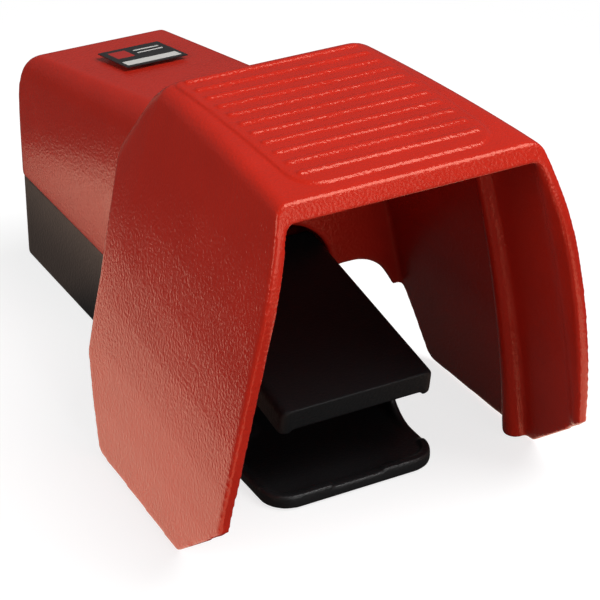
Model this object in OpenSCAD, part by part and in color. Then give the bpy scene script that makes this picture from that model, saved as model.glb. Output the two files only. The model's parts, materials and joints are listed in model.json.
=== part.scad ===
// Industrial foot switch: a black base tray with a short front tongue, a black pedal hinged inside
// it, and a red cast guard that closes the switch compartment and arches over the foot.
// X runs across, -Y is the side the foot enters, +Z is up. The origin is on the floor, under the
// middle of the overall length and width. Units are millimetres.

/* [Base] */
// Width of the base tray
base_w = 80; // [76:1:84]
// Height of the base tray's rim above the floor
base_h = 44; // [42:0.5:46]
// Wall thickness of the base tray
base_wall = 3.5; // [3:0.5:4]
// Radius of the sweep where the side walls drop to the tongue
sweep_r = 18; // [14:1:22]
// Centre distance of the floor fixing holes across the tray
fix_x = 50; // [44:1:52]
// Centre distance of the floor fixing holes along the tray
fix_y = 150; // [146:1:152]
// Diameter of the floor fixing holes
fix_d = 5.5; // [4.5:0.1:6.5]
// Core diameter of the threaded cable entry
entry_d = 18.5; // [16:0.5:20]

/* [Guard] */
// Wall thickness of the casting
guard_wall = 4; // [3.5:0.5:4.5]
// Width across the hood's front feet, at the level of the base rim
hood_foot_w = 167; // [160:1:170]
// Width across the hood's top at the front
hood_top_w = 113.6; // [108:0.2:118]
// Height of the hood's front top edge
hood_h = 163.5; // [158:0.5:168]
// Height of the low rear edge of the cover's sloping top
cover_h = 110.6; // [106:0.2:114]
// Slope of the cover's top, in degrees
cover_slope = 10.5; // [8:0.5:12]
// Number of anti-slip ribs on the hood
tread_ribs = 11; // [9:1:11]
// Pitch of the anti-slip ribs
tread_pitch = 9.4; // [9:0.1:9.6]

/* [Pedal] */
// Width of the pedal
pedal_w = 71.2; // [66:0.2:71.2]
// Slope of the pedal at rest, in degrees
pedal_slope = 9.3; // [8.5:0.1:9.5]
// Height of the pedal's front top edge at rest
pedal_h = 48; // [47:0.5:50]
// Diameter of the hinge pin
pin_d = 6; // [5:0.5:6]

/* [Switch block] */
// Distance the plunger stands out of the block at rest
plunger_out = 6.2; // [6.2:0.1:7]
// Mean radius of the pedal's return spring
spring_r = 6.5; // [5.5:0.1:6.5]
// Turns of the pedal's return spring
spring_turns = 7; // [6:1:8]

/* [Hidden] */
$fn = 48;

front_y = -107;      // front edge of the tongue
rear_y = 153.5;      // rear face of the base tray
foot_z = 0.3;        // underside of the tray, above the pads it stands on
floor_z = 5;         // top of the tray's floor
seal_gap = 0.2;      // the seal holds the guard this far off the rim
guard_z = base_h + seal_gap;
lip = 1.5;           // the guard overhangs the tray by this much

web_y = -10;         // rear face of the hood's rear wall
rim_y = -143.6;      // hood's front top edge
tread_y = -27.5;     // rear end of the flat top of the hood
bow = 0.00072;       // bulge of the hood's side walls
level_z = 41;        // height at which hood_foot_w is measured
floor_gap = 1.5;     // the hood's feet clear the floor by this much

hinge_y = 60;
hinge_z = 36;
plunger_x = -12;
plunger_y = 18;
block_top = 40;
spring_x = 9.5;
web_z = 56;          // underside of the pedal's web over the block and the spring
mouth_x = 38.9;      // half width of the mouth the pedal passes through
buffer_top = 48.8;   // the pedal's web rests here at the end of its travel
cover_screw_x = 30.5;
cover_screw_y = [6, 128];

// ---------------------------------------------------------------- small helpers

// Points on an arc, from angle a to angle b.
function arc(c, r, a, b, n = 8) =
    [for (i = [0:n]) c + r * [cos(a + (b - a) * i / n), sin(a + (b - a) * i / n)]];

// Extrudes a YZ outline along X, centred on X = 0.
module across(w) {
    rotate([90, 0, 90])
        linear_extrude(w, center = true)
            children();
}

// Extrudes an XZ outline along +Y from y0 to y1.
module along(y0, y1) {
    translate([0, y1, 0])
        rotate([90, 0, 0])
            linear_extrude(y1 - y0)
                children();
}

module both_sides() {
    children();
    mirror([1, 0, 0])
        children();
}

// A plate with vertical edges rounded by r.
module rounded_plate(w, y0, y1, r_front, r_rear, h) {
    linear_extrude(h)
        polygon(concat(
            arc([w / 2 - r_front, y0 + r_front], r_front, -90, 0),
            arc([w / 2 - r_rear, y1 - r_rear], r_rear, 0, 90),
            arc([-w / 2 + r_rear, y1 - r_rear], r_rear, 90, 180),
            arc([-w / 2 + r_front, y0 + r_front], r_front, 180, 270)));
}

// Skins a stack of closed loops that all have the same number of points and turn anticlockwise
// as seen from the end of the stack.
module loft(loops) {
    n = len(loops[0]);
    m = len(loops);
    points = [for (l = loops) each l];
    sides = [for (k = [0:m - 2], i = [0:n - 1]) each
        let (a = k * n + i, b = k * n + (i + 1) % n)
        [[a, b + n, b], [a, a + n, b + n]]];
    polyhedron(points, concat(
        sides,
        [[for (i = [0:n - 1]) i]],
        [[for (i = [n - 1:-1:0]) (m - 1) * n + i]]), convexity = 8);
}

// A round-wire compression spring standing on z0.
module coil_spring(r, wire, z0, z1, turns, steps = 16, sides = 6) {
    rise = z1 - z0 - 2 * wire;
    loft([for (k = [0:turns * steps])
        let (a = 360 * k / steps, z = z0 + wire + rise * k / (turns * steps))
        [for (j = [sides - 1:-1:0])
            let (b = 360 * j / sides, q = r + wire * cos(b))
            [q * cos(a), q * sin(a), z + wire * sin(b)]]]);
}

module screw(head_d, head_h, d, length) {
    cylinder(d = head_d, h = head_h);
    translate([0, 0, -length])
        cylinder(d = d, h = length + 0.01);
}

// ---------------------------------------------------------------- base tray

module base_side_profile() {
    foot = front_y + 23;
    polygon(concat(
        [[front_y, foot_z], [rear_y, foot_z], [rear_y, base_h], [foot + sweep_r, base_h]],
        arc([foot, floor_z + 0.5 + sweep_r], sweep_r, 0, -90, 12),
        [[front_y, floor_z + 0.5]]));
}

module base_shell() {
    inner = base_w - 2 * base_wall;
    difference() {
        intersection() {
            rounded_plate(base_w, front_y, rear_y, 12.5, 7, base_h);
            across(base_w + 1)
                base_side_profile();
        }
        translate([0, 0, floor_z])
            rounded_plate(inner, front_y + 4, rear_y - base_wall, 9, 4, base_h);
    }
    // lip on the tongue's front edge, left open in the middle
    difference() {
        translate([0, 0, floor_z])
            rounded_plate(base_w - 0.4, front_y + 0.2, front_y + 14, 12.3, 1, 1.6);
        translate([0, 0, floor_z - 1])
            rounded_plate(inner, front_y + 4, front_y + 30, 9, 1, 5);
        translate([-12, front_y - 1, floor_z + 0.5])
            cube([24, 8, 4]);
    }
}

module base_lug() {
    // ear that carries the hinge pin
    translate([30.5, 0, 0])
        across(6)
            polygon(concat(
                [[hinge_y - 11, floor_z - 1], [hinge_y + 11, floor_z - 1]],
                arc([hinge_y, hinge_z], 7.5, 0, 180, 12)));
}

module base() {
    color([0.09, 0.09, 0.09])
    difference() {
        union() {
            base_shell();
            // wall that closes the switch compartment below the pedal
            translate([-base_w / 2 + 1, web_y - 4, floor_z - 1])
                cube([base_w - 2, 3.5, 31]);
            both_sides() {
                base_lug();
                for (y = cover_screw_y)
                    translate([cover_screw_x, y, floor_z - 1])
                        cylinder(d = 11, h = base_h - floor_z + 1);
                for (y = [-1, 1])
                    translate([fix_x / 2, 25 + y * fix_y / 2, floor_z - 1])
                        cylinder(d = 13, h = 2.5);
            }
            // collar of the cable entry
            translate([0, rear_y - 10, 24])
                rotate([-90, 0, 0])
                    cylinder(d = entry_d + 8, h = 8);
            // pillar under the stop buffer, spring seat and earth boss
            translate([spring_x, -2, floor_z - 1])
                cylinder(d = 11, h = buffer_top - 7 - floor_z + 1);
            translate([spring_x, plunger_y, floor_z - 1])
                cylinder(d = 2 * spring_r - 2.4, h = 6);
            translate([0, 85, floor_z - 1])
                cylinder(d = 11, h = 9);
        }
        translate([0, rear_y - 11, 24])
            rotate([-90, 0, 0])
                cylinder(d = entry_d, h = 20);
        translate([-50, hinge_y, hinge_z])
            rotate([0, 90, 0])
                translate([0, 0, 15])
                    cylinder(d = pin_d + 0.04, h = 70);
        both_sides() {
            for (y = cover_screw_y)
                translate([cover_screw_x, y, 0]) {
                    cylinder(d = 5.4, h = base_h + 1);
                    cylinder(d = 9.6, h = 6);
                }
            for (y = [-1, 1])
                translate([fix_x / 2, 25 + y * fix_y / 2, 0])
                    cylinder(d = fix_d, h = 12);
            for (y = [front_y + 13, rear_y - 12])
                translate([29, y, 0])
                    cylinder(d = 14, h = 3);
        }
        for (y = [3.5, 32.5])
            translate([plunger_x, y, 2.5])
                cylinder(d = 4, h = 6);
        translate([0, 85, 7])
            cylinder(d = 4, h = 10);
        seal_ring(1.7, base_h - 1.2, 3);
    }
}

module foot_pads() {
    color([0.12, 0.12, 0.12])
    both_sides()
        for (y = [front_y + 13, rear_y - 12])
            translate([29, y, 0])
                cylinder(d = 14, h = 3);
}

// U-shaped run of the cover seal along the tray's rim.
module seal_ring(w, z, h) {
    mid = base_w / 2 - base_wall / 2;
    translate([0, 0, z])
        difference() {
            rounded_plate(2 * mid + w, -40, rear_y - base_wall / 2 + w / 2, 5, 5.2 + w / 2, h);
            translate([0, 0, -1])
                rounded_plate(2 * mid - w, -41, rear_y - base_wall / 2 - w / 2, 1, 5.2 - w / 2, h + 2);
            translate([-60, -60, -1])
                cube([120, 60 + web_y, h + 2]);
        }
}

module cover_gasket() {
    color([0.2, 0.2, 0.2])
    seal_ring(1.5, base_h - 1.2, 1.2 + seal_gap);
}

// ---------------------------------------------------------------- guard: hood

// The hood's form is set by four curves along Y: top height, top half width, half width at
// level_z, and the radius between top and side.
function drop(y) = y < tread_y ? 0 : 0.8 * pow(y - tread_y, 2) / (y - tread_y + 6);
function top_z(y) = let (t = y - rim_y) hood_h + t * (0.04 - 0.00042 * t) - drop(y);
function top_x(y) = hood_top_w / 2 - 0.08 * (y - rim_y) + 0.22 * drop(y);
function foot_x(y) = hood_foot_w / 2 - 0.046 * (y - rim_y);
function corner(y) = 6 + 0.03 * (y - rim_y) + 1.4 * drop(y);
function lean(y) = let (u = top_z(y) - level_z) (foot_x(y) - top_x(y) + bow * u * u) / u;
function side_x(y, z) = let (u = top_z(y) - z) top_x(y) + lean(y) * u - bow * u * u;

// Half of the hood's section at y, from z0 up to the middle of the top, set in by ts at the
// sides and tt at the top.
function half_section(y, z0, ts, tt, ns = 8, nc = 6) =
    let (
        r = max(corner(y) - ts, 2.5),
        b0 = atan(lean(y) - 2 * bow * r),
        ut = tt + r * (1 - sin(b0)),
        b = atan(lean(y) - 2 * bow * ut),
        z1 = top_z(y) - tt - r * (1 - sin(b)),
        x1 = side_x(y, z1) - ts,
        c = [x1 - r * cos(b), z1 - r * sin(b)])
    concat(
        [for (i = [0:ns - 1])
            let (z = z0 + (z1 - z0) * i / ns)
            [side_x(y, z) - ts, z]],
        arc(c, r, b, 90, nc),
        [[0, c.y + r]]);

function full_section(y, z0, ts, tt) =
    let (h = half_section(y, z0, ts, tt), n = len(h))
    concat(
        [for (p = h) [p.x, y, p.y]],
        [for (i = [n - 2:-1:0]) [-h[i].x, y, h[i].y]]);

module hood_form(y0, y1, z0, ts, tt, n) {
    loft([for (k = [n:-1:0]) full_section(y0 + (y1 - y0) * k / n, z0, ts, tt)]);
}

// Side view of the hood: bowed front edge, chamfered front foot, raised rear corner, and a rear
// edge that leans back into the cover.
module hood_profile() {
    polygon(concat(
        [[30, 190], [rim_y, 190]],
        arc([-56.9, 118], 97.6, 152.5, 180, 8),
        arc([351.5, 118], 506, 181, 189.5, 6),
        arc([-142.2, 33], 5.5, 195, 223, 3),
        arc([-110, floor_gap + 4], 4, 223, 270, 4),
        arc([-35, floor_gap + 7], 7, -90, -30, 4),
        arc([web_y - 6, level_z], 6, -30, 0, 4),
        [[web_y, 74], [web_y + 2, 88], [web_y + 5, 106], [web_y + 9, 121], [web_y + 15, 131],
         [web_y + 24, 137], [30, 139]]));
}

// ---------------------------------------------------------------- guard: cover over the box

// Half of the cover's section, measured down from its sloping top, set in by t.
function cover_half(t) = concat(
    [[0, -t], [23.5, -t]],
    arc([23.5, -15], 15 - t, 90, 8, 8),
    arc([base_w / 2 + lip - 302, -55], 302 - t, 8, 0, 4),
    [[base_w / 2 + lip - t, -180]]);

// Side view of the cover, set in by t.
function cover_side(t) =
    let (r = rear_y + 1, s = tan(cover_slope), y0 = web_y - 4)
    concat(
        [[y0, 20], [r - t, 20]],
        arc([r - 180, 52], 180 - t, 0, 15, 5),
        arc([r - 18.5, 95], 12.8 - t, 15, 90 - cover_slope, 8),
        [[y0, cover_h + s * (136 - y0) - t]]);

module cover_form(t) {
    s = tan(cover_slope);
    h = cover_half(t);
    n = len(h);
    intersection() {
        translate([0, 136, cover_h])
            rotate([-cover_slope, 0, 0])
                along(-200, 60)
                    polygon(concat(h, [for (i = [n - 1:-1:1]) [-h[i].x, h[i].y]]));
        across(120)
            polygon(cover_side(t));
        rounded_plate(base_w + 2 * lip - 2 * t, -60, rear_y + 1 - t, 1, 11 - t, 200);
    }
}

// ---------------------------------------------------------------- guard: details

// Opening under the hood's rear wall, on each side of the tray.
module rear_arch() {
    along(web_y - 12, web_y + 30)
        polygon(concat(
            [[base_w / 2 + lip, -5], [base_w / 2 + lip, 50.5]],
            arc([49, 29.5], 21, 90, 0, 8),
            [[79, 0], [79, -5]]));
}

// Half-round stiffener down the inside of a hood wall, thinner towards the top.
module wall_rib(y) {
    z1 = top_z(y) - guard_wall - 1;
    loft([for (k = [0:10])
        let (
            z = floor_gap + (z1 - floor_gap) * k / 10,
            r = 5.5 - 2.2 * k / 10,
            x = side_x(y, z) - guard_wall - r * 0.35)
        [for (j = [0:15]) [x + r * cos(j * 22.5), y + r * sin(j * 22.5), z]]]);
}

// Raised pad with transverse anti-slip ribs on the hood's top.
module tread() {
    intersection() {
        rounded_plate(86, -130.5, tread_y, 9, 6, 200);
        hood_form(rim_y, tread_y + 1, 161, 0, -0.9, 10);
    }
    for (i = [0:tread_ribs - 1]) {
        y = -126.5 + i * tread_pitch;
        translate([0, y, top_z(y) - 0.6])
            rotate([0, 90, 0])
                cylinder(r = 2.4, h = 78, center = true, $fn = 32);
    }
}

module guard_cover() {
    color([0.72, 0.1, 0.08])
    difference() {
        union() {
            difference() {
                intersection() {
                    hood_form(-158, 22, -20, 0, 0, 18);
                    across(200)
                        hood_profile();
                }
                hood_form(rim_y + 1, web_y - 4, -21, guard_wall, guard_wall, 12);
                hood_form(-170, rim_y + 1.01, -22, guard_wall + 1.5, guard_wall + 4, 3);
            }
            cover_form(0);
            tread();
            both_sides()
                intersection() {
                    wall_rib(-102);
                    across(200)
                        hood_profile();
                }
        }
        // inside of the cover, and what lies below the seal face
        difference() {
            cover_form(guard_wall);
            translate([-60, web_y - 70, 0])
                cube([120, 70, 200]);
        }
        translate([-base_w / 2 - lip - 1, web_y - 4 - 60, -10])
            cube([base_w + 2 * lip + 2, 300, 10 + guard_z]);
        // the pedal's mouth
        along(web_y - 40, web_y + 2)
            polygon(concat(
                [[mouth_x, 0]],
                arc([12, 50], mouth_x - 12, 0, 90, 12),
                arc([-12, 50], mouth_x - 12, 90, 180, 12),
                [[-mouth_x, 0]]));
        both_sides()
            rear_arch();
    }
    color([0.72, 0.1, 0.08])
    both_sides()
        for (y = cover_screw_y)
            difference() {
                translate([cover_screw_x - 5.5, y - 5.5, guard_z])
                    cube([13, 11, 18]);
                translate([cover_screw_x, y, guard_z - 1])
                    cylinder(d = 4.4, h = 15);
            }
}

module cover_screws() {
    color([0.7, 0.7, 0.72])
    both_sides()
        for (y = cover_screw_y)
            translate([cover_screw_x, y, 6])
                mirror([0, 0, 1])
                    difference() {
                        screw(8.5, 4, 4.3, 48);
                        translate([0, 0, 2])
                            cylinder(d = 4.6, h = 3, $fn = 6);
                    }
}

module label_plate() {
    color([0.05, 0.05, 0.05])
    translate([0, 93.8, cover_h + tan(cover_slope) * 42.2])
        rotate([-cover_slope, 0, 0])
            translate([-15, -16.5, 0])
                cube([30, 33, 0.5]);
}

// ---------------------------------------------------------------- pedal

module pedal_plate() {
    length = 106;
    translate([0, front_y, pedal_h])
        rotate([pedal_slope, 0, 0])
            difference() {
                intersection() {
                    translate([0, 0, -12])
                        rounded_plate(pedal_w + 1, 0, length, 4.5, 1.5, 12);
                    along(-1, length + 1)
                        polygon(concat(
                            [[pedal_w / 2, -14]],
                            arc([pedal_w / 2 - 3.5, -3.5], 3.5, 0, 90, 5),
                            arc([-pedal_w / 2 + 3.5, -3.5], 3.5, 90, 180, 5),
                            [[-pedal_w / 2, -14]]));
                }
                // hollow underside, open towards the rear
                translate([0, 0, -15])
                    rounded_plate(pedal_w - 6, 3.5, length + 20, 2, 1, 10.5);
                // the front face stands less deep than the side skirts
                translate([-pedal_w / 2 + 5, -1, -13])
                    cube([pedal_w - 10, 5, 2.5]);
            }
}

// Arm that carries the pedal back and down to its hinge.
module pedal_arm() {
    translate([22, 0, 0])
        across(4)
            polygon(concat(
                [[-30, 56], [-8, 51], [40, 46.5], [52, 34]],
                arc([hinge_y, hinge_z], 7.2, 180, 400, 16),
                [[50, 58], [36, 61], [-2, 61], [-6, 61.5], [-30, 57.5]]));
}

module pedal() {
    color([0.03, 0.03, 0.03])
    difference() {
        union() {
            pedal_plate();
            both_sides() {
                pedal_arm();
                translate([17.5, hinge_y, hinge_z])
                    rotate([0, 90, 0])
                        cylinder(r = 8, h = 8);
            }
            translate([-23, -8, web_z])
                cube([46, 44, 5]);
            translate([-23, -7, web_z])
                cube([46, 4, 6]);
            // stiffeners under the tread plate
            for (x = [-12, 0, 12])
                translate([x, 0, 0])
                    across(2.4)
                        polygon([[-98, 42], [-7, 57], [-7, 61], [-98, 46]]);
        }
        translate([-40, hinge_y, hinge_z])
            rotate([0, 90, 0])
                cylinder(d = pin_d + 3, h = 80);
        translate([plunger_x, plunger_y, web_z - 5])
            cylinder(d = 5, h = 20);
    }
    color([0.03, 0.03, 0.03])
    translate([spring_x, plunger_y, web_z - 4])
        cylinder(d = 2 * spring_r - 2.4, h = 4.5);
}

module hinge_pin() {
    color([0.75, 0.75, 0.77])
    translate([-36, hinge_y, hinge_z])
        rotate([0, 90, 0])
            difference() {
                cylinder(d = pin_d, h = 72);
                for (z = [1.2, 69.8])
                    translate([0, 0, z])
                        difference() {
                            cylinder(d = pin_d + 2, h = 1);
                            translate([0, 0, -1])
                                cylinder(d = pin_d - 1.4, h = 3);
                        }
            }
}

module pin_clips() {
    color([0.4, 0.4, 0.42])
    both_sides()
        translate([33.8, hinge_y, hinge_z])
            rotate([0, 90, 0])
                difference() {
                    cylinder(d = pin_d + 5, h = 1);
                    translate([0, 0, -1])
                        cylinder(d = pin_d - 1.4, h = 3);
                    translate([-1.6, 0, -1])
                        cube([3.2, 10, 3]);
                }
}

module pivot_bushes() {
    color([0.72, 0.55, 0.25])
    both_sides()
        translate([17.5, hinge_y, hinge_z])
            rotate([0, 90, 0])
                difference() {
                    union() {
                        cylinder(d = pin_d + 2.96, h = 8);
                        translate([0, 0, 8])
                            cylinder(d = pin_d + 6, h = 1.2);
                    }
                    translate([0, 0, -1])
                        cylinder(d = pin_d + 0.1, h = 12);
                }
}

module return_spring() {
    color([0.7, 0.7, 0.72])
    translate([spring_x, plunger_y, 0])
        coil_spring(spring_r, 0.8, floor_z, web_z, spring_turns);
}

module actuating_screw() {
    color([0.75, 0.75, 0.77])
    translate([plunger_x, plunger_y, block_top + plunger_out + 0.4]) {
        cylinder(d = 8, h = 3.5, $fn = 6);
        cylinder(d = 4.9, h = 20);
    }
}

module lock_nut() {
    color([0.75, 0.75, 0.77])
    translate([plunger_x, plunger_y, web_z + 5])
        difference() {
            cylinder(d = 9.2, h = 4, $fn = 6);
            translate([0, 0, -1])
                cylinder(d = 5, h = 6);
        }
}

module stop_buffer() {
    color([0.1, 0.1, 0.1])
    translate([spring_x, -2, buffer_top - 7])
        cylinder(d = 10, h = 7);
}

// ---------------------------------------------------------------- switch block

block_w = 24;
block_x = plunger_x - block_w / 2;
ledge_z = 24;                // height of the terminal ledges
terminal_x = [plunger_x - 7.5, plunger_x + 7.5];
terminal_y = [3.5, 32.5];
bridge_z = [23, 29.5];       // one bridge opens and the other closes when the plunger goes down

module switch_housing() {
    color([0.15, 0.15, 0.16])
    difference() {
        union() {
            translate([block_x, 7, floor_z])
                cube([block_w, 22, block_top - floor_z]);
            translate([block_x, 0, floor_z])
                cube([block_w, 36, ledge_z - floor_z]);
        }
        // contact chamber, open on one side for assembly
        translate([block_x + 2, 9, floor_z + 2])
            cube([30, 18, block_top - floor_z - 5]);
        translate([plunger_x, plunger_y, floor_z + 5])
            cylinder(d = 7.2, h = 40);
        for (x = terminal_x) {
            // slots for the fixed contacts
            translate([x - 3, -1, ledge_z])
                cube([6, 38, 1.2]);
            for (y = terminal_y)
                translate([x, y, ledge_z - 9])
                    cylinder(d = 3, h = 12);
        }
        for (y = terminal_y)
            translate([plunger_x, y, 0])
                cylinder(d = 4.2, h = 40);
    }
}

module switch_lid() {
    color([0.3, 0.3, 0.32])
    translate([block_x + block_w - 2, 9.1, floor_z + 2.1])
        cube([2, 17.8, block_top - floor_z - 5.2]);
}

module plunger() {
    color([0.75, 0.12, 0.1])
    difference() {
        translate([plunger_x, plunger_y, 0]) {
            translate([0, 0, 30])
                cylinder(d = 7, h = block_top + plunger_out - 31);
            translate([0, 0, block_top + plunger_out - 1])
                cylinder(d1 = 7, d2 = 5, h = 1);
            translate([-9.7, -3, 20])
                cube([19.4, 6, 15]);
        }
        for (i = [0, 1])
            translate([terminal_x[i] - 2, plunger_y - 5, bridge_z[i]])
                cube([4, 10, 1]);
    }
}

module plunger_spring() {
    color([0.7, 0.7, 0.72])
    translate([plunger_x, plunger_y, 0])
        coil_spring(2.6, 0.35, floor_z + 2, 20, 5, 12, 6);
}

module contact_bridges() {
    color([0.8, 0.6, 0.3])
    for (i = [0, 1])
        translate([terminal_x[i] - 2, plunger_y - 8, bridge_z[i]])
            cube([4, 16, 1]);
}

module fixed_contacts() {
    color([0.8, 0.6, 0.3])
    for (x = terminal_x, side = [0, 1])
        translate([x, side * 36, ledge_z + 0.05])
            mirror([0, side, 0])
                difference() {
                    translate([-2.5, 0.5, 0])
                        cube([5, 12, 1]);
                    translate([0, 3.5, -1])
                        cylinder(d = 3.2, h = 3);
                }
}

module terminal_clamps() {
    color([0.75, 0.75, 0.72])
    for (x = terminal_x, y = terminal_y)
        translate([x, y, ledge_z + 1.05])
            difference() {
                translate([-2.6, -2.6, 0])
                    cube([5.2, 5.2, 0.8]);
                translate([0, 0, -1])
                    cylinder(d = 3.2, h = 3);
            }
}

module terminal_screws() {
    color([0.75, 0.75, 0.72])
    for (x = terminal_x, y = terminal_y)
        translate([x, y, ledge_z + 1.85])
            difference() {
                screw(5, 1.8, 2.9, 8);
                translate([-3, -0.4, 0.9])
                    cube([6, 0.8, 2]);
            }
}

module switch_screws() {
    color([0.7, 0.7, 0.72])
    for (y = terminal_y)
        translate([plunger_x, y, ledge_z])
            difference() {
                screw(6, 2.4, 3.9, 20);
                translate([-4, -0.5, 1.3])
                    cube([8, 1, 2]);
            }
}

module earth_clamp() {
    color([0.8, 0.6, 0.3])
    translate([0, 85, 14])
        difference() {
            translate([-5, -5, 0])
                cube([10, 10, 1.2]);
            translate([0, 0, -1])
                cylinder(d = 4.2, h = 4);
        }
}

module earth_screw() {
    color([0.2, 0.55, 0.25])
    translate([0, 85, 15.2])
        difference() {
            screw(8, 3, 3.9, 7);
            translate([-5, -0.6, 1.6])
                cube([10, 1.2, 2]);
        }
}

base();
foot_pads();
guard_cover();
cover_gasket();
cover_screws();
label_plate();
pedal();
hinge_pin();
pin_clips();
pivot_bushes();
return_spring();
actuating_screw();
lock_nut();
stop_buffer();
switch_housing();
switch_lid();
plunger();
plunger_spring();
contact_bridges();
fixed_contacts();
terminal_clamps();
terminal_screws();
switch_screws();
earth_clamp();
earth_screw();
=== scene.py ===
import json
import math

import bpy
import numpy as np
from bpy.props import FloatProperty, FloatVectorProperty, IntProperty, PointerProperty
from mathutils import Matrix, Vector


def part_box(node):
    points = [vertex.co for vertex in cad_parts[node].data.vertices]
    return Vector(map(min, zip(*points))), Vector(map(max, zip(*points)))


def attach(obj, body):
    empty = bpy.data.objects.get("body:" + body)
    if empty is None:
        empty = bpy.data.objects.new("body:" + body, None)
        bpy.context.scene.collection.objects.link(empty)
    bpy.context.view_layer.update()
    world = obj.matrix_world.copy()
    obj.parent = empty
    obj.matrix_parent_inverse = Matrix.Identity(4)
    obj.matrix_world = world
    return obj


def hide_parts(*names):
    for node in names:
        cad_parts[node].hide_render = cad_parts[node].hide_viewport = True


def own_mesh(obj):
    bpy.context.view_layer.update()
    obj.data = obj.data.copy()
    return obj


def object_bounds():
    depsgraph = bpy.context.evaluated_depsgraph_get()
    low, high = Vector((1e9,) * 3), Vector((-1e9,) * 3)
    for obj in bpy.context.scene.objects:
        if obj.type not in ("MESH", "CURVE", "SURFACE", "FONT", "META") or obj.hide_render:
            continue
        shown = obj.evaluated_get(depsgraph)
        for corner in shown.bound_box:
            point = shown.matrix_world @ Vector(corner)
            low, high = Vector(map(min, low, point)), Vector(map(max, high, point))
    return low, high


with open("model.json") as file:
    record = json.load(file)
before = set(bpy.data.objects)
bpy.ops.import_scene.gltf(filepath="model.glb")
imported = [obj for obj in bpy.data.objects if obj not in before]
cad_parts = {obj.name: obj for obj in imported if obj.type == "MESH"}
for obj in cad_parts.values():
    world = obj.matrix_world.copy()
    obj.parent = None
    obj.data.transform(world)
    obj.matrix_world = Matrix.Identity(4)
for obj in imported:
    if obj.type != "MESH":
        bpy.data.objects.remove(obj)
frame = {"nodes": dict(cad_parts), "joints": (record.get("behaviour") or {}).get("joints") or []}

CAD_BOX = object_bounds()
BODY = "body"
PEDAL_UNIT = "pedal_unit"
MM = 0.001

bl_info = {
    "name": "Guarded Foot Switch",
    "version": (1, 0, 0),
    "blender": (4, 5, 0),
    "location": "View3D > Sidebar > Foot Switch",
    "description": "Finishes the pieces of a guarded industrial foot switch and lights them",
    "category": "Object",
}


# ------------------------------------------------------------------ sizes and colours

class CoatSettings(bpy.types.PropertyGroup):
    """Colours and grain of the powder coats."""

    guard_red: FloatVectorProperty(
        name="Guard red", description="Coat of the red casting",
        subtype="COLOR", size=3, min=0, max=1, default=(0.57, 0.02, 0.009))
    base_black: FloatVectorProperty(
        name="Tray black", description="Coat of the base tray",
        subtype="COLOR", size=3, min=0, max=1, default=(0.012, 0.012, 0.013))
    pedal_black: FloatVectorProperty(
        name="Pedal black", description="Coat of the pedal",
        subtype="COLOR", size=3, min=0, max=1, default=(0.008, 0.0088, 0.0098))
    peel: FloatProperty(
        name="Orange peel", description="Width of one dimple of the coat's orange peel",
        unit="LENGTH", default=1.3 * MM)
    peel_depth: FloatProperty(
        name="Orange peel depth", description="Depth of the coat's dimples",
        unit="LENGTH", default=0.24 * MM)


class CastingSettings(bpy.types.PropertyGroup):
    """How far the castings' edges are softened."""

    guard_grain: FloatProperty(
        name="Guard grain", description="Size of the guard's mesh cells",
        unit="LENGTH", default=0.65 * MM)
    tray_grain: FloatProperty(
        name="Tray grain", description="Size of the tray's mesh cells",
        unit="LENGTH", default=0.6 * MM)
    pedal_grain: FloatProperty(
        name="Pedal grain", description="Size of the pedal's mesh cells",
        unit="LENGTH", default=0.5 * MM)
    softening: IntProperty(
        name="Edge softening", description="Passes that round the edges of a casting",
        default=26, min=0, max=60)
    easing: IntProperty(
        name="Step easing", description="Passes that blend away the step inside the hood's rim",
        default=90, min=0, max=200)
    kept: FloatProperty(
        name="Kept faces", description="Share of the faces kept after softening",
        subtype="FACTOR", default=0.16, min=0.05, max=1)


class StudioSettings(bpy.types.PropertyGroup):
    """The camera, the lamps and the floor's reflections."""

    camera_at: FloatVectorProperty(
        name="Camera", description="Where the camera stands",
        subtype="TRANSLATION", unit="LENGTH", size=3, default=(-0.4133, -0.8172, 0.5595))
    camera_back: FloatVectorProperty(
        name="Camera back", description="Direction from the subject to the camera",
        subtype="XYZ", size=3, default=(-0.41448, -0.76337, 0.49546))
    lens: FloatProperty(
        name="Lens", description="Focal length on a 36 mm wide sensor",
        unit="CAMERA", default=143.4)
    top_power: FloatProperty(
        name="Top lamp", description="Power of the large soft box above", unit="POWER", default=92)
    left_power: FloatProperty(
        name="Left lamp", description="Power of the soft box on the left", unit="POWER", default=17)
    front_power: FloatProperty(
        name="Front lamp", description="Power of the low soft box in front",
        unit="POWER", default=13)
    sky: FloatProperty(
        name="Sky", description="Strength of the even light from all around", default=0.12)
    # The sheet glows only in reflections: a painted reflection on the castings' lower walls.
    sheet_glow: FloatProperty(
        name="Sheet in reflections", default=1.6,
        description="Strength at which glossy surfaces show the pale sheet beside the object")


# ------------------------------------------------------------------ shader maths

# Numbers of the sockets whose name stands more than once on their node, or is unclear.
OBJECT_COORDINATES = 3
POINTINESS = 7
COLOUR_A = 6
COLOUR_B = 7
MIXED_COLOUR = 2
CAMERA_RAY = 0
GLOSSY_RAY = 3


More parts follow.
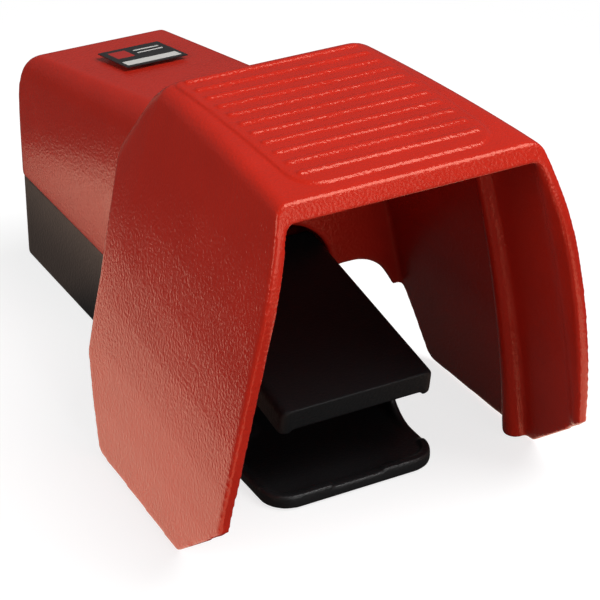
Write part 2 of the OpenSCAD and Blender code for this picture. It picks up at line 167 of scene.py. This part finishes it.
class Wire:
    """A node's output that Python operators turn into further Math nodes."""

    def __init__(self, shader, socket):
        self.shader = shader
        self.socket = socket

    def _math(self, operation, *values):
        return self.shader.node("ShaderNodeMath", {"operation": operation}, values)[0]

    def __add__(self, other):
        return self._math("ADD", self, other)

    def __sub__(self, other):
        return self._math("SUBTRACT", self, other)

    def __mul__(self, other):
        return self._math("MULTIPLY", self, other)

    def __truediv__(self, other):
        return self._math("DIVIDE", self, other)

    def __rsub__(self, other):
        return self._math("SUBTRACT", other, self)

    def __rtruediv__(self, other):
        return self._math("DIVIDE", other, self)

    __radd__ = __add__
    __rmul__ = __mul__

    def above(self, level):
        return self._math("GREATER_THAN", self, level)

    def below(self, level):
        return self._math("LESS_THAN", self, level)

    def absolute(self):
        return self._math("ABSOLUTE", self)

    def smooth(self, low, high):
        """0 below low, 1 above high, and a soft step between."""
        return self.shader.node(
            "ShaderNodeMapRange", {"interpolation_type": "SMOOTHSTEP"},
            {"Value": self, "From Min": low, "From Max": high})[0]


class Shader:
    """A material under construction."""

    def __init__(self, name):
        self.material = bpy.data.materials.new(name)
        self.material.use_nodes = True
        self.tree = self.material.node_tree
        self.surface = self.tree.nodes["Principled BSDF"]
        self.output = self.tree.nodes["Material Output"]

    def node(self, kind, settings=None, inputs=()):
        """Adds a node, sets it up, feeds it, and returns its outputs."""
        made = self.tree.nodes.new(kind)
        for key, value in (settings or {}).items():
            if key == "stops":
                self._ramp(made.color_ramp, value)
            else:
                setattr(made, key, value)
        pairs = inputs.items() if isinstance(inputs, dict) else enumerate(inputs)
        for key, value in pairs:
            self.feed(made.inputs[key], value)
        return [Wire(self, socket) for socket in made.outputs]

    def feed(self, socket, value):
        if isinstance(value, Wire):
            self.tree.links.new(value.socket, socket)
        elif socket.type == "RGBA" and len(value) == 3:
            socket.default_value = (*value, 1)
        else:
            socket.default_value = value

    def _ramp(self, ramp, stops):
        while len(ramp.elements) < len(stops):
            ramp.elements.new(0.5)
        for element, (place, colour) in zip(ramp.elements, stops):
            element.position = place
            element.color = (*colour, 1)

    def set(self, **values):
        for key, value in values.items():
            self.feed(self.surface.inputs[key.replace("_", " ")], value)
        return self

    def place(self):
        """Where the shaded point lies in the part's own frame."""
        return self.node("ShaderNodeTexCoord")[OBJECT_COORDINATES]

    def axes(self):
        return self.node("ShaderNodeSeparateXYZ", None, (self.place(),))

    def noise(self, width, detail=2.0, roughness=0.5):
        """Soft lumps of about the given width, from 0 to 1."""
        return self.node(
            "ShaderNodeTexNoise", {"noise_dimensions": "3D"},
            {"Vector": self.place(), "Scale": 1 / width, "Detail": detail,
             "Roughness": roughness})[0]

    def mix(self, factor, first, second):
        return self.node(
            "ShaderNodeMix", {"data_type": "RGBA"},
            {"Factor": factor, COLOUR_A: first, COLOUR_B: second})[MIXED_COLOUR]

    def bump(self, height, depth):
        """Feeds a height from 0 to 1, that stands for depth in metres, to the normal."""
        self.feed(self.surface.inputs["Normal"], self.node(
            "ShaderNodeBump", None, {"Distance": depth, "Height": height})[0])
        return self

    def edges(self):
        """1 on sharp outer edges and 0 elsewhere."""
        return self.node("ShaderNodeNewGeometry")[POINTINESS].smooth(0.51, 0.6)


def powder_coat(name, colour, roughness, worn_and_lit_edge, grain):
    """Sprayed and baked coat: orange peel, faint mottling, and lighter sharp edges, partly rubbed
    wear and partly a painted edge highlight.

    The fourth argument is the lighter colour of sharp edges, partly rubbed wear and partly painted
    highlight, and grain is how far the roughness varies.
    """
    coat = bpy.context.scene.foot_coat
    thinning = 0.93
    wear_and_highlight_share = 0.3
    shader = Shader(name)
    peel = shader.noise(coat.peel, 1.0, 0.4)
    mottle = shader.noise(30 * MM, 3.0, 0.55)
    grit = shader.noise(0.5 * MM, 2.0, 0.6)
    thin = tuple(channel * thinning for channel in colour)
    body = shader.mix(mottle.smooth(0.3, 0.7), thin, colour)
    # Sharp edges turn lighter: partly rubbed wear, partly a painted edge highlight.
    wear_and_highlight_mask = shader.edges() * shader.noise(5 * MM, 4.0, 0.65).smooth(0.45, 0.8)
    body = shader.mix(wear_and_highlight_mask * wear_and_highlight_share, body, worn_and_lit_edge)
    shader.set(
        Base_Color=body,
        Roughness=roughness + (mottle - 0.5) * 0.08 + (grit - 0.5) * grain)
    shader.bump(peel * 0.85 + grit * 0.15, coat.peel_depth)
    return shader


def guard_coat():
    colour = bpy.context.scene.foot_coat.guard_red
    # The lighter orange edge colour is partly wear, partly a painted edge highlight.
    shader = powder_coat("guard_powder_coat", colour, 0.22, (0.66, 0.1, 0.05), 0.1)
    return shader.set(Specular_IOR_Level=0.65, Specular_Tint=(1, 0.55, 0.4)).material


def tray_coat():
    colour = bpy.context.scene.foot_coat.base_black
    # The lighter grey edge colour is partly wear, partly a painted edge highlight.
    return powder_coat("tray_powder_coat", colour, 0.42, (0.035, 0.035, 0.036), 0.15).material


def pedal_coat():
    colour = bpy.context.scene.foot_coat.pedal_black
    # The lighter grey edge colour is partly wear, partly a painted edge highlight.
    shader = powder_coat("pedal_powder_coat", colour, 0.55, (0.03, 0.03, 0.031), 0.25)
    return shader.set(Specular_IOR_Level=0.3).material


def moulded_rubber():
    shader = Shader("moulded_rubber")
    bloom = shader.noise(5 * MM, 4.0, 0.6)
    grain = shader.noise(0.5 * MM, 2.0)
    shader.set(
        Base_Color=shader.mix(bloom.smooth(0.4, 0.8), (0.012, 0.012, 0.012), (0.03, 0.029, 0.028)),
        Roughness=0.78 + (bloom - 0.5) * 0.2)
    return shader.bump(grain, 0.04 * MM).material


def foam_seal():
    cell_width = 0.5 * MM
    shader = Shader("foam_seal")
    cells = shader.node(
        "ShaderNodeTexVoronoi", None, {"Vector": shader.place(), "Scale": 1 / cell_width})[0]
    shader.set(
        Base_Color=shader.mix(cells.smooth(0.1, 0.6), (0.03, 0.03, 0.03), (0.09, 0.09, 0.09)),
        Roughness=0.9)
    return shader.bump(cells, 0.08 * MM).material


def plated_steel(name, colour, roughness):
    """Plated, drawn or passivated metal with faint turning marks and stains."""
    marks_per_metre = 900.0
    shader = Shader(name)
    marks = shader.node(
        "ShaderNodeTexWave", {"wave_type": "RINGS", "rings_direction": "Z"},
        {"Vector": shader.place(), "Scale": marks_per_metre, "Distortion": 3.0,
         "Detail": 3.0})[1]
    stain = shader.noise(3 * MM, 4.0, 0.65)
    dull = tuple(channel * 0.7 for channel in colour)
    shader.set(
        Base_Color=shader.mix(stain.smooth(0.4, 0.75), colour, dull),
        Metallic=1.0,
        Roughness=roughness + (stain - 0.5) * 0.25)
    return shader.bump(marks, 0.01 * MM).material


def moulded_plastic(name, colour):
    shader = Shader(name)
    flow = shader.noise(9 * MM, 3.0, 0.6)
    grain = shader.noise(0.35 * MM, 2.0)
    pale = tuple(min(1, channel * 1.5 + 0.01) for channel in colour)
    shader.set(
        Base_Color=shader.mix(flow.smooth(0.4, 0.8), colour, pale),
        Roughness=0.42 + (flow - 0.5) * 0.2)
    return shader.bump(grain, 0.02 * MM).material


def plate_print():
    """Printed film: black ground, a red panel, two pale rules and a pale strip."""
    low, high = (Vector(corner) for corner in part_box("label_plate"))
    wide = high.x - low.x
    deep = high.y - low.y
    shader = Shader("plate_print")
    x, y, _ = shader.axes()
    u = (x - low.x) / wide
    v = (y - low.y) / deep

    def band(value, start, end):
        return value.above(start) * value.below(end)

    wear = shader.noise(2 * MM, 4.0, 0.6)
    black = (0.012, 0.012, 0.013)
    worn_black = (0.03, 0.03, 0.03)
    red = (0.45, 0.02, 0.015)
    pale = (0.7, 0.69, 0.66)
    colour = shader.mix(wear.smooth(0.45, 0.8), black, worn_black)
    panel = band(u, 0.1, 0.38) * band(v, 0.5, 0.88)
    colour = shader.mix(panel, colour, red)
    rules = band(u, 0.48, 0.9) * (band(v, 0.6, 0.65) + band(v, 0.75, 0.8))
    colour = shader.mix(rules, colour, pale)
    strip = band(u, 0.06, 0.94) * band(v, 0.08, 0.3)
    colour = shader.mix(strip, colour, pale)
    shader.set(Base_Color=colour, Roughness=0.3 + (wear - 0.5) * 0.15)
    return shader.bump(shader.noise(0.6 * MM, 2.0), 0.01 * MM).material


# ------------------------------------------------------------------ meshes

def baked(piece, steps):
    """Adds the modifiers in steps, and leaves their result as piece's own mesh."""
    for kind, settings in steps:
        modifier = piece.modifiers.new(kind.lower(), kind)
        for key, value in settings.items():
            setattr(modifier, key, value)
    bpy.context.view_layer.update()
    graph = bpy.context.evaluated_depsgraph_get()
    mesh = bpy.data.meshes.new_from_object(piece.evaluated_get(graph))
    piece.modifiers.clear()
    piece.data = mesh
    return piece


def read_vectors(rows, key):
    """The vectors of a mesh's rows as an array of one line each."""
    values = np.empty(len(rows) * 3, np.float32)
    rows.foreach_get(key, values)
    return values.reshape(-1, 3)


def marked(piece, name, pick):
    """Puts the vertices that pick chooses, by their places and normals, in a group of piece."""
    places = read_vectors(piece.data.vertices, "co")
    normals = read_vectors(piece.data.vertex_normals, "vector")
    chosen = np.nonzero(pick(places, normals))[0]
    piece.vertex_groups.new(name=name).add(chosen.tolist(), 1.0, "REPLACE")
    return {"vertex_group": name}


def longer_pad(places):
    """Carries the tread pad on to its front edge, which has rounder corners than the solid's."""
    x, y, z = places.T
    half = 43 * MM
    front = -136.5 * MM
    corner = 12 * MM
    rise = 0.9 * MM
    edge = MM
    top = ((z > 162.8 * MM) & (abs(x) < half + 4 * MM)
           & (y > front - 4 * MM) & (y < front + 16.5 * MM))
    plain = top & ((y < front + 3 * MM) | (abs(x) > half + 1.5 * MM))
    level = np.polyval(np.polyfit(y[plain], z[plain], 2), y)
    outside = np.hypot(np.maximum(abs(x) - half + corner, 0), np.maximum(front + corner - y, 0))
    share = np.clip((corner - outside) / edge + 0.5, 0, 1)
    raised = level + rise * share * share * (3 - 2 * share)
    places[:, 2] = np.where(top & (share > 0), np.maximum(z, raised), z)
    return places


def soft_casting(node, name, grain, body, crisp=None, eased=None, moved=None):
    """Stands a casting with rounded edges and corners in for its sharp CAD solid.

    crisp picks the vertices that keep their detail, and eased those where a small step is
    blended away. moved gives the vertices new places before anything is softened.
    """
    settings = bpy.context.scene.foot_casting
    piece = bpy.data.objects.new(name, frame["nodes"][node].data.copy())
    bpy.context.scene.collection.objects.link(piece)
    piece.data.materials.clear()
    baked(piece, [
        ("WELD", {"merge_threshold": 0.01 * MM}),
        ("REMESH", {"mode": "VOXEL", "voxel_size": grain}),
    ])
    if moved:
        places = moved(read_vectors(piece.data.vertices, "co"))
        piece.data.vertices.foreach_set("co", places.ravel())
    baked(piece, [("SMOOTH", {"factor": 0.5, "iterations": 3})])
    soft = {"factor": 0.5, "iterations": settings.softening}
    if crisp:
        soft.update(marked(piece, "soft", lambda *data: ~crisp(*data)))
    steps = [("SMOOTH", soft)]
    if eased:
        steps.append(("SMOOTH", {
            "factor": 0.5, "iterations": settings.easing,
            **marked(piece, "eased", eased)}))
    baked(piece, steps + [("DECIMATE", {"decimate_type": "COLLAPSE", "ratio": settings.kept})])
    piece.vertex_groups.clear()
    fewest_faces = 1000
    if len(piece.data.polygons) < fewest_faces:
        raise RuntimeError(f"{name} lost its mesh while it was softened")
    piece.data.shade_smooth()
    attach(piece, body)
    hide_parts(node)
    return piece


def tread(places, normals):
    """Ribbed top of the hood."""
    x, y, z = places.T
    return (abs(x) < 55 * MM) & (y > -139 * MM) & (y < -30 * MM) & (z > 158 * MM)


def rim_step(places, normals):
    """Inside of the hood's walls and roof, where they thicken towards the front rim."""
    x, y, _ = places.T
    inward = np.maximum(-normals[:, 0] * np.sign(x), -normals[:, 2])
    return (y > -149.5 * MM) & (y < -136.5 * MM) & (inward > 0.35)


def finish(piece, material):
    piece.data.materials.clear()
    piece.data.materials.append(material)


def finish_node(node, material):
    """Gives a CAD node its finish."""
    slot = frame["nodes"][node].material_slots[0]
    slot.link = "OBJECT"
    slot.material = material


def coil(node, name, travel, material):
    """Stands a copy of a spring, with its finish, in for its rigid CAD solid. travel is not used.
    """
    low, high = (Vector(corner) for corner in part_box(node))
    piece = bpy.data.objects.new(name, frame["nodes"][node].data.copy())
    bpy.context.scene.collection.objects.link(piece)
    finish(piece, material)
    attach(piece, BODY)
    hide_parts(node)
    1 - travel / (high.z - low.z)
    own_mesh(piece)


# ------------------------------------------------------------------ operators

class FOOT_OT_guard(bpy.types.Operator):
    """Softens and coats the red guard casting"""

    bl_idname = "foot.guard"
    bl_label = "Guard"

    def execute(self, context):
        piece = soft_casting(
            "guard_cover", "guard_casting", context.scene.foot_casting.guard_grain, BODY,
            crisp=tread, eased=rim_step, moved=longer_pad)
        finish(piece, guard_coat())
        return {"FINISHED"}


class FOOT_OT_tray(bpy.types.Operator):
    """Softens and coats the black base tray"""

    bl_idname = "foot.tray"
    bl_label = "Tray"

    def execute(self, context):
        piece = soft_casting(
            "base", "base_casting", context.scene.foot_casting.tray_grain, BODY)
        finish(piece, tray_coat())
        return {"FINISHED"}


class FOOT_OT_pedal(bpy.types.Operator):
    """Softens and coats the pedal"""

    bl_idname = "foot.pedal"
    bl_label = "Pedal"

    def execute(self, context):
        piece = soft_casting(
            "pedal", "pedal_casting", context.scene.foot_casting.pedal_grain, PEDAL_UNIT)
        finish(piece, pedal_coat())
        return {"FINISHED"}


class FOOT_OT_plate(bpy.types.Operator):
    """Prints the plate on the cover"""

    bl_idname = "foot.plate"
    bl_label = "Plate"

    def execute(self, context):
        finish_node("label_plate", plate_print())
        return {"FINISHED"}


class FOOT_OT_rubber(bpy.types.Operator):
    """Finishes the rubber pads, the buffer and the seal"""

    bl_idname = "foot.rubber"
    bl_label = "Rubber"

    def execute(self, context):
        rubber = moulded_rubber()
        for node in ("foot_pads", "stop_buffer"):
            finish_node(node, rubber)
        finish_node("cover_gasket", foam_seal())
        return {"FINISHED"}


class FOOT_OT_metal(bpy.types.Operator):
    """Finishes the pins, clips, screws, bushes and contacts"""

    bl_idname = "foot.metal"
    bl_label = "Metal pieces"

    def execute(self, context):
        zinc = plated_steel("bright_zinc", (0.62, 0.63, 0.65), 0.28)
        clip = plated_steel("clip_steel", (0.42, 0.42, 0.43), 0.35)
        bronze = plated_steel("sintered_bronze", (0.5, 0.33, 0.15), 0.45)
        brass = plated_steel("contact_brass", (0.72, 0.55, 0.25), 0.3)
        green = plated_steel("green_passivate", (0.07, 0.3, 0.1), 0.4)
        pieces = {
            "cover_screws": zinc, "hinge_pin": zinc, "actuating_screw": zinc, "lock_nut": zinc,
            "terminal_clamps": zinc, "terminal_screws": zinc, "switch_screws": zinc,
            "pin_clips": clip, "pivot_bushes": bronze, "contact_bridges": brass,
            "fixed_contacts": brass, "earth_clamp": brass, "earth_screw": green,
        }
        for node, material in pieces.items():
            finish_node(node, material)
        return {"FINISHED"}


class FOOT_OT_springs(bpy.types.Operator):
    """Finishes the two springs, and works out how far each would shorten as the pedal goes down"""

    bl_idname = "foot.springs"
    bl_label = "Springs"

    def execute(self, context):
        wire = plated_steel("spring_wire", (0.42, 0.42, 0.43), 0.35)
        joints = {joint["name"]: joint for joint in frame["joints"]}
        hinge = joints["pedal_hinge"]
        far_side = hinge["pos_m"][1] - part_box("return_spring")[0][1]
        press = far_side * math.sin(math.radians(hinge["range_deg"][1]))
        coil("return_spring", "return_coil", press, wire)
        stroke = joints["plunger_slide"]["range_m"][1]
        coil("plunger_spring", "plunger_coil", stroke, wire)
        return {"FINISHED"}


class FOOT_OT_block(bpy.types.Operator):
    """Finishes the plastic pieces of the switch block"""

    bl_idname = "foot.block"
    bl_label = "Switch block"

    def execute(self, context):
        black = moulded_plastic("block_black", (0.02, 0.02, 0.022))
        finish_node("switch_housing", black)
        finish_node("switch_lid", black)
        finish_node("plunger", moulded_plastic("plunger_red", (0.45, 0.03, 0.02)))
        return {"FINISHED"}


def lamp(name, place, aim, size, power):
    """A square soft box that faces aim."""
    data = bpy.data.lights.new(name, "AREA")
    data.shape = "SQUARE"
    data.size = size
    data.energy = power
    made = bpy.data.objects.new(name, data)
    bpy.context.scene.collection.objects.link(made)
    made.location = place
    made.rotation_euler = (Vector(place) - Vector(aim)).to_track_quat("Z", "Y").to_euler()


def white_floor(sheet_glow):
    """White floor that keeps the object's shadow.

    The camera sees it white. The object is lit by a dark table with a pale sheet on each side of
    the guard and a fainter stretch behind it, down the middle. Glossy rays see those sheets glow
    warm instead, a painted reflection on the castings' lower walls.
    """
    shader = Shader("studio_floor")
    x, y, _ = shader.axes()
    side = x.absolute()
    inner_edge = side.smooth(0.079, 0.085)
    outer_edge = side.smooth(0.15, 0.17)
    rear_edge = (y + side * 0.9).smooth(0.33, 0.35)
    sheet = inner_edge * (1 - outer_edge) * (1 - rear_edge)
    beside_tray = (1 - inner_edge) * y.smooth(0.08, 0.12)
    pale = sheet + beside_tray * 0.12

    shader.set(
        Base_Color=shader.mix(pale, (0.2, 0.2, 0.2), (0.8, 0.8, 0.8)),
        Roughness=0.9, Specular_IOR_Level=0.0)
    around = Wire(shader, shader.surface.outputs[0])
    # Warm-tinted glow that only glossy rays see: a painted reflection of the sheets on the
    # castings' lower walls and the tray.
    painted_reflection_glow = shader.node("ShaderNodeEmission", None, {
        "Color": shader.mix(pale, (0.04, 0.036, 0.034), (1, 0.68, 0.52)),
        "Strength": sheet_glow})[0]

    shade = shader.node("ShaderNodeBsdfDiffuse", None, {"Color": (0.35, 0.35, 0.35)})[0]
    lift = shader.node("ShaderNodeEmission", None, {"Color": (1, 1, 1), "Strength": 0.76})[0]
    near = shader.node("ShaderNodeAddShader", None, (shade, lift))[0]
    far = shader.node("ShaderNodeEmission", None, {"Color": (1, 1, 1), "Strength": 1.0})[0]
    reach = shader.node("ShaderNodeVectorMath", {"operation": "LENGTH"}, (shader.place(),))[1]
    seen = shader.node("ShaderNodeMixShader", None, (reach.smooth(0.28, 0.45), near, far))[0]

    path = shader.node("ShaderNodeLightPath")
    lit = shader.node("ShaderNodeMixShader", None, (path[GLOSSY_RAY], around, painted_reflection_glow))[0]
    shader.feed(shader.output.inputs["Surface"], shader.node(
        "ShaderNodeMixShader", None, (path[CAMERA_RAY], lit, seen))[0])
    return shader.material


def even_sky(strength):
    """World that lights evenly and shows the camera white."""
    world = bpy.data.worlds.new("studio_world")
    world.use_nodes = True
    tree = world.node_tree
    sky = tree.nodes["Background"]
    sky.inputs["Color"].default_value = (1, 1, 1, 1)
    sky.inputs["Strength"].default_value = strength
    white = tree.nodes.new("ShaderNodeBackground")
    white.inputs["Color"].default_value = (1, 1, 1, 1)
    path = tree.nodes.new("ShaderNodeLightPath")
    both = tree.nodes.new("ShaderNodeMixShader")
    tree.links.new(path.outputs["Is Camera Ray"], both.inputs[0])
    tree.links.new(sky.outputs[0], both.inputs[1])
    tree.links.new(white.outputs[0], both.inputs[2])
    tree.links.new(both.outputs[0], tree.nodes["World Output"].inputs["Surface"])
    return world


class FOOT_OT_stage(bpy.types.Operator):
    """Sets up the floor, the lamps and the camera"""

    bl_idname = "foot.stage"
    bl_label = "Stage"

    def execute(self, context):
        scene = context.scene
        settings = scene.foot_studio
        half = 6.0
        gap = 0.0002
        mesh = bpy.data.meshes.new("studio_floor")
        corners = [(-half, -half, 0), (half, -half, 0), (half, half, 0), (-half, half, 0)]
        mesh.from_pydata(corners, [], [(0, 1, 2, 3)])
        floor = bpy.data.objects.new("studio_floor", mesh)
        floor.location.z = CAD_BOX[0][2] - gap
        scene.collection.objects.link(floor)
        mesh.materials.append(white_floor(settings.sheet_glow))

        back = Vector(settings.camera_back).normalized()
        right = Vector((-back.y, back.x, 0)).normalized()
        up = back.cross(right)
        data = bpy.data.cameras.new("studio_camera")
        data.sensor_width = 36
        data.lens = settings.lens
        data.clip_end = 50
        camera = bpy.data.objects.new("studio_camera", data)
        scene.collection.objects.link(camera)
        turn = Matrix((right, up, back)).transposed().to_4x4()
        camera.matrix_world = Matrix.Translation(Vector(settings.camera_at)) @ turn
        scene.camera = camera

        middle = (0, 0, 80 * MM)
        lamp("top_box", (1.25, -0.9, 2.6), middle, 2.2, settings.top_power)
        lamp("left_box", (-1.9, -0.3, 1.0), middle, 1.2, settings.left_power)
        lamp("front_box", (0.3, -2.5, 0.7), middle, 1.4, settings.front_power)
        scene.world = even_sky(settings.sky)
        scene.view_settings.view_transform = "Standard"
        return {"FINISHED"}


class FOOT_PT_panel(bpy.types.Panel):
    """Lists the steps that finish the foot switch"""

    bl_idname = "FOOT_PT_panel"
    bl_label = "Foot Switch"
    bl_space_type = "VIEW_3D"
    bl_region_type = "UI"
    bl_category = "Foot Switch"

    def draw(self, context):
        for step in STEPS:
            self.layout.operator(step.bl_idname)
        for group in ("foot_coat", "foot_casting", "foot_studio"):
            settings = getattr(context.scene, group)
            box = self.layout.box()
            for key in settings.bl_rna.properties.keys():
                if key not in ("rna_type", "name"):
                    box.prop(settings, key)


GROUPS = {"foot_coat": CoatSettings, "foot_casting": CastingSettings, "foot_studio": StudioSettings}
STEPS = (
    FOOT_OT_guard, FOOT_OT_tray, FOOT_OT_pedal, FOOT_OT_plate, FOOT_OT_rubber, FOOT_OT_metal,
    FOOT_OT_springs, FOOT_OT_block, FOOT_OT_stage,
)


def register():
    for group in GROUPS.values():
        bpy.utils.register_class(group)
    for step in STEPS:
        bpy.utils.register_class(step)
    bpy.utils.register_class(FOOT_PT_panel)
    for name, group in GROUPS.items():
        setattr(bpy.types.Scene, name, PointerProperty(type=group))


def unregister():
    for name in GROUPS:
        delattr(bpy.types.Scene, name)
    bpy.utils.unregister_class(FOOT_PT_panel)
    for step in reversed(STEPS):
        bpy.utils.unregister_class(step)
    for group in GROUPS.values():
        bpy.utils.unregister_class(group)


def main():
    register()
    for step in STEPS:
        group, name = step.bl_idname.split(".")
        getattr(getattr(bpy.ops, group), name)()


if __name__ == "__main__":
    main()
